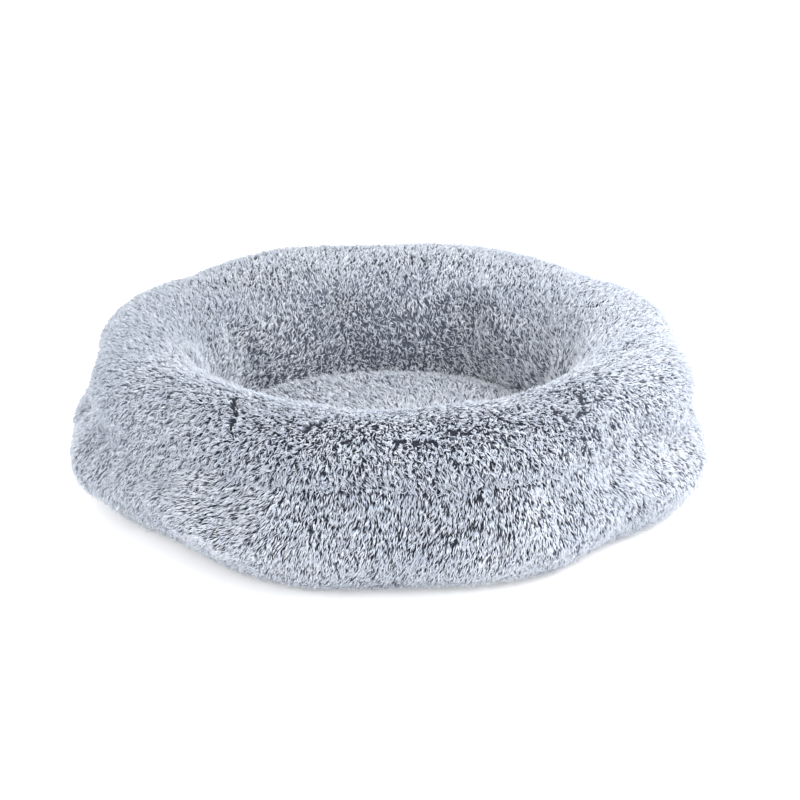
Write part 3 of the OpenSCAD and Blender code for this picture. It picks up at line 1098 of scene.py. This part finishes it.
coil_pitch = 0.00155
coil_wire = 0.00027
windings = int(zip_radius * math.radians(coil_end - coil_start) / coil_pitch)
per_winding = 10
for node, side in (("zip_coil_lower", -1), ("zip_coil_upper", 1)):
    name = node + "_wound"
    wire = bpy.data.curves.new(name, "CURVE")
    wire.dimensions = "3D"
    wire.bevel_depth = coil_wire
    wire.bevel_resolution = 0
    wire.use_fill_caps = True
    spline = wire.splines.new("POLY")
    spline.points.add(windings * per_winding)
    for k, point in enumerate(spline.points):
        share = k / (windings * per_winding)
        angle = math.radians(coil_start + 0.3 + (coil_end - coil_start - 0.6) * share)
        wind = side * 2 * math.pi * k / per_winding
        radius = zip_radius + 0.00082 * math.cos(wind)
        point.co = (radius * math.cos(angle), radius * math.sin(angle),
                    zip_level + side * 0.0019 + 0.00098 * math.sin(wind), 1.0)
    wound = bpy.data.objects.new(name, wire)
    scene.collection.objects.link(wound)
    graph = bpy.context.evaluated_depsgraph_get()
    mesh = bpy.data.meshes.new_from_object(wound.evaluated_get(graph))
    mesh.name = name
    bpy.data.objects.remove(wound)
    bpy.data.curves.remove(wire)
    for polygon in mesh.polygons:
        polygon.use_smooth = True
    mesh.materials.clear()
    mesh.materials.append(nylon)
    coil = link(name, mesh)
    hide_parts(node)

metal, nodes, links, shader = new_material("nickel_plate", 0.3)
shader.inputs["Metallic"].default_value = 1.0
rubbed = texture(nodes, links, "Noise", {"Scale": 420.0, "Detail": 5.0})
tint(nodes, links, shader, rubbed.outputs["Fac"], [(0.3, (0.46, 0.46, 0.47)), (0.7, (0.66, 0.66, 0.66))])
dull = nodes.new("ShaderNodeMapRange")
dull.inputs["To Min"].default_value = 0.22
dull.inputs["To Max"].default_value = 0.42
links.new(rubbed.outputs["Fac"], dull.inputs["Value"])
links.new(dull.outputs["Result"], shader.inputs["Roughness"])


def on_zip(bm, verts, angle):
    """Puts a shape on the zip's line: its X outwards, its Y along the zip, its Z up."""
    matrix = Matrix.Rotation(math.radians(angle), 4, "Z") @ Matrix.Translation((zip_radius, 0, zip_level))
    bmesh.ops.transform(bm, matrix=matrix, verts=verts)


def block(bm, low, high, round_by):
    """A block with rounded edges between two corners. It gives its vertices back."""
    made = bmesh.ops.create_cube(bm, size=1.0)["verts"]
    low, high = Vector(low), Vector(high)
    for v in made:
        v.co = Vector([(low[i] + high[i]) / 2 + v.co[i] * (high[i] - low[i]) for i in range(3)])
    edges = list({e for v in made for e in v.link_edges})
    rounded = bmesh.ops.bevel(bm, geom=edges, offset=round_by, segments=2, affect="EDGES", profile=0.5)
    return rounded["verts"]


bm = bmesh.new()
for angle in (coil_start - 0.9, coil_end + 0.9):
    before = set(bm.verts)
    block(bm, (0.0006, -0.0015, -0.0030), (0.0024, 0.0015, 0.0030), 0.0005)
    for ridge in (-0.0008, 0.0008):
        block(bm, (0.0022, ridge - 0.0003, -0.0022), (0.0026, ridge + 0.0003, 0.0022), 0.00012)
    on_zip(bm, [v for v in bm.verts if v not in before], angle)
for face in bm.faces:
    face.smooth = True
stops = link("zip_stops_pressed", mesh_of(bm, "zip_stops_pressed", metal))
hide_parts("zip_stops")

# ---------------------------------------------------------------------------
# The slider: two cast plates joined by a divider, with flanges that hold the
# coil and a bow on the outer plate. The pull tab hangs on the bow.

slider_angle = round(math.degrees(math.atan2(pivot[1], pivot[0])), 2)
plate_in, plate_out = 0.0015, 0.0029
bm = bmesh.new()
half_outline = [(-0.0050, 0.0034), (-0.0036, 0.0043), (0.0022, 0.0046), (0.0042, 0.0044), (0.0050, 0.0030)]
outline = [(y, -z) for y, z in half_outline] + half_outline[::-1]
for side in (1, -1):
    near = [bm.verts.new((side * plate_in, y, z)) for y, z in outline]
    face = bm.faces.new(near)
    out = bmesh.ops.extrude_face_region(bm, geom=[face])
    far = [g for g in out["geom"] if isinstance(g, bmesh.types.BMVert)]
    bmesh.ops.translate(bm, verts=far, vec=(side * (plate_out - plate_in), 0, 0))
    edges = [e for e in bm.edges if all(v in far for v in e.verts)]
    bmesh.ops.bevel(bm, geom=edges, offset=0.0004, segments=2, affect="EDGES", profile=0.5)
    for up in (1, -1):
        low, high = sorted((side * 0.0009, side * 0.0018))
        floor_z, top_z = sorted((up * 0.0037, up * 0.0045))
        block(bm, (low, -0.0045, floor_z), (high, 0.0045, top_z), 0.0002)
block(bm, (-0.0018, 0.0010, -0.0005), (0.0018, 0.0048, 0.0005), 0.0002)
bow_points = 11
bow_rings = []
for k in range(bow_points):
    t = math.pi * k / (bow_points - 1)
    y = -0.0029 * math.cos(t)
    x = plate_out - 0.0003 + 0.0030 * math.sin(t) ** 0.6
    outward = Vector((math.sin(t), -math.cos(t), 0)).normalized() * 0.0005
    bow_rings.append([bm.verts.new(Vector((x, y, z)) + outward * s)
                      for z, s in ((-0.0012, -1), (0.0012, -1), (0.0012, 1), (-0.0012, 1))])
for a, b in zip(bow_rings, bow_rings[1:]):
    for k in range(4):
        bm.faces.new((a[k], a[(k + 1) % 4], b[(k + 1) % 4], b[k]))
bm.faces.new(bow_rings[0])
bm.faces.new(bow_rings[-1])
bmesh.ops.recalc_face_normals(bm, faces=bm.faces)
on_zip(bm, bm.verts, slider_angle)
for face in bm.faces:
    face.smooth = len(face.verts) < 8
slider = link("zip_slider_cast", mesh_of(bm, "zip_slider_cast", metal), "slider")
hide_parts("zip_slider")

tab_half = 0.0034
tab_thick = 0.0012
tab_from, tab_to = 0.0054, 0.0260
bm = bmesh.new()
pin_radius = 0.00065
bmesh.ops.create_cone(bm, cap_ends=True, segments=16, radius1=pin_radius, radius2=pin_radius,
                      depth=2 * tab_half - 0.0004)
for side in (1, -1):
    low, high = sorted((side * 0.0022, side * 0.0034))
    block(bm, (-tab_thick / 2, -0.0008, low), (tab_thick / 2, tab_from + 0.0006, high), 0.0003)
tip_steps = 12
outline = [(tab_from, -tab_half), (tab_to - tab_half, -tab_half)]
for k in range(1, tip_steps):
    a = -math.pi / 2 + math.pi * k / tip_steps
    outline.append((tab_to - tab_half + tab_half * math.cos(a), tab_half * math.sin(a)))
outline += [(tab_to - tab_half, tab_half), (tab_from, tab_half)]
face = bm.faces.new([bm.verts.new((-tab_thick / 2, y, z)) for y, z in outline])
out = bmesh.ops.extrude_face_region(bm, geom=[face])
far = [g for g in out["geom"] if isinstance(g, bmesh.types.BMVert)]
bmesh.ops.translate(bm, verts=far, vec=(tab_thick, 0, 0))
plates = [f for f in bm.faces if len(f.verts) == len(outline)]
for plate in plates:
    plate.normal_update()
    bmesh.ops.inset_region(bm, faces=[plate], thickness=0.0003, depth=0.0)
    bmesh.ops.inset_region(bm, faces=[plate], thickness=0.0007, depth=0.0)
    bmesh.ops.inset_region(bm, faces=[plate], thickness=0.0002, depth=-0.0002)
bmesh.ops.recalc_face_normals(bm, faces=bm.faces)
bmesh.ops.translate(bm, verts=bm.verts, vec=(pivot_out, 0, 0))
on_zip(bm, bm.verts, slider_angle)
pull_tab = link("zip_pull_pressed", mesh_of(bm, "zip_pull_pressed", metal), "pull")
edge = pull_tab.modifiers.new("soft_edge", "BEVEL")
edge.width = 0.00015
edge.segments = 2
edge.limit_method = "ANGLE"
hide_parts("zip_pull")
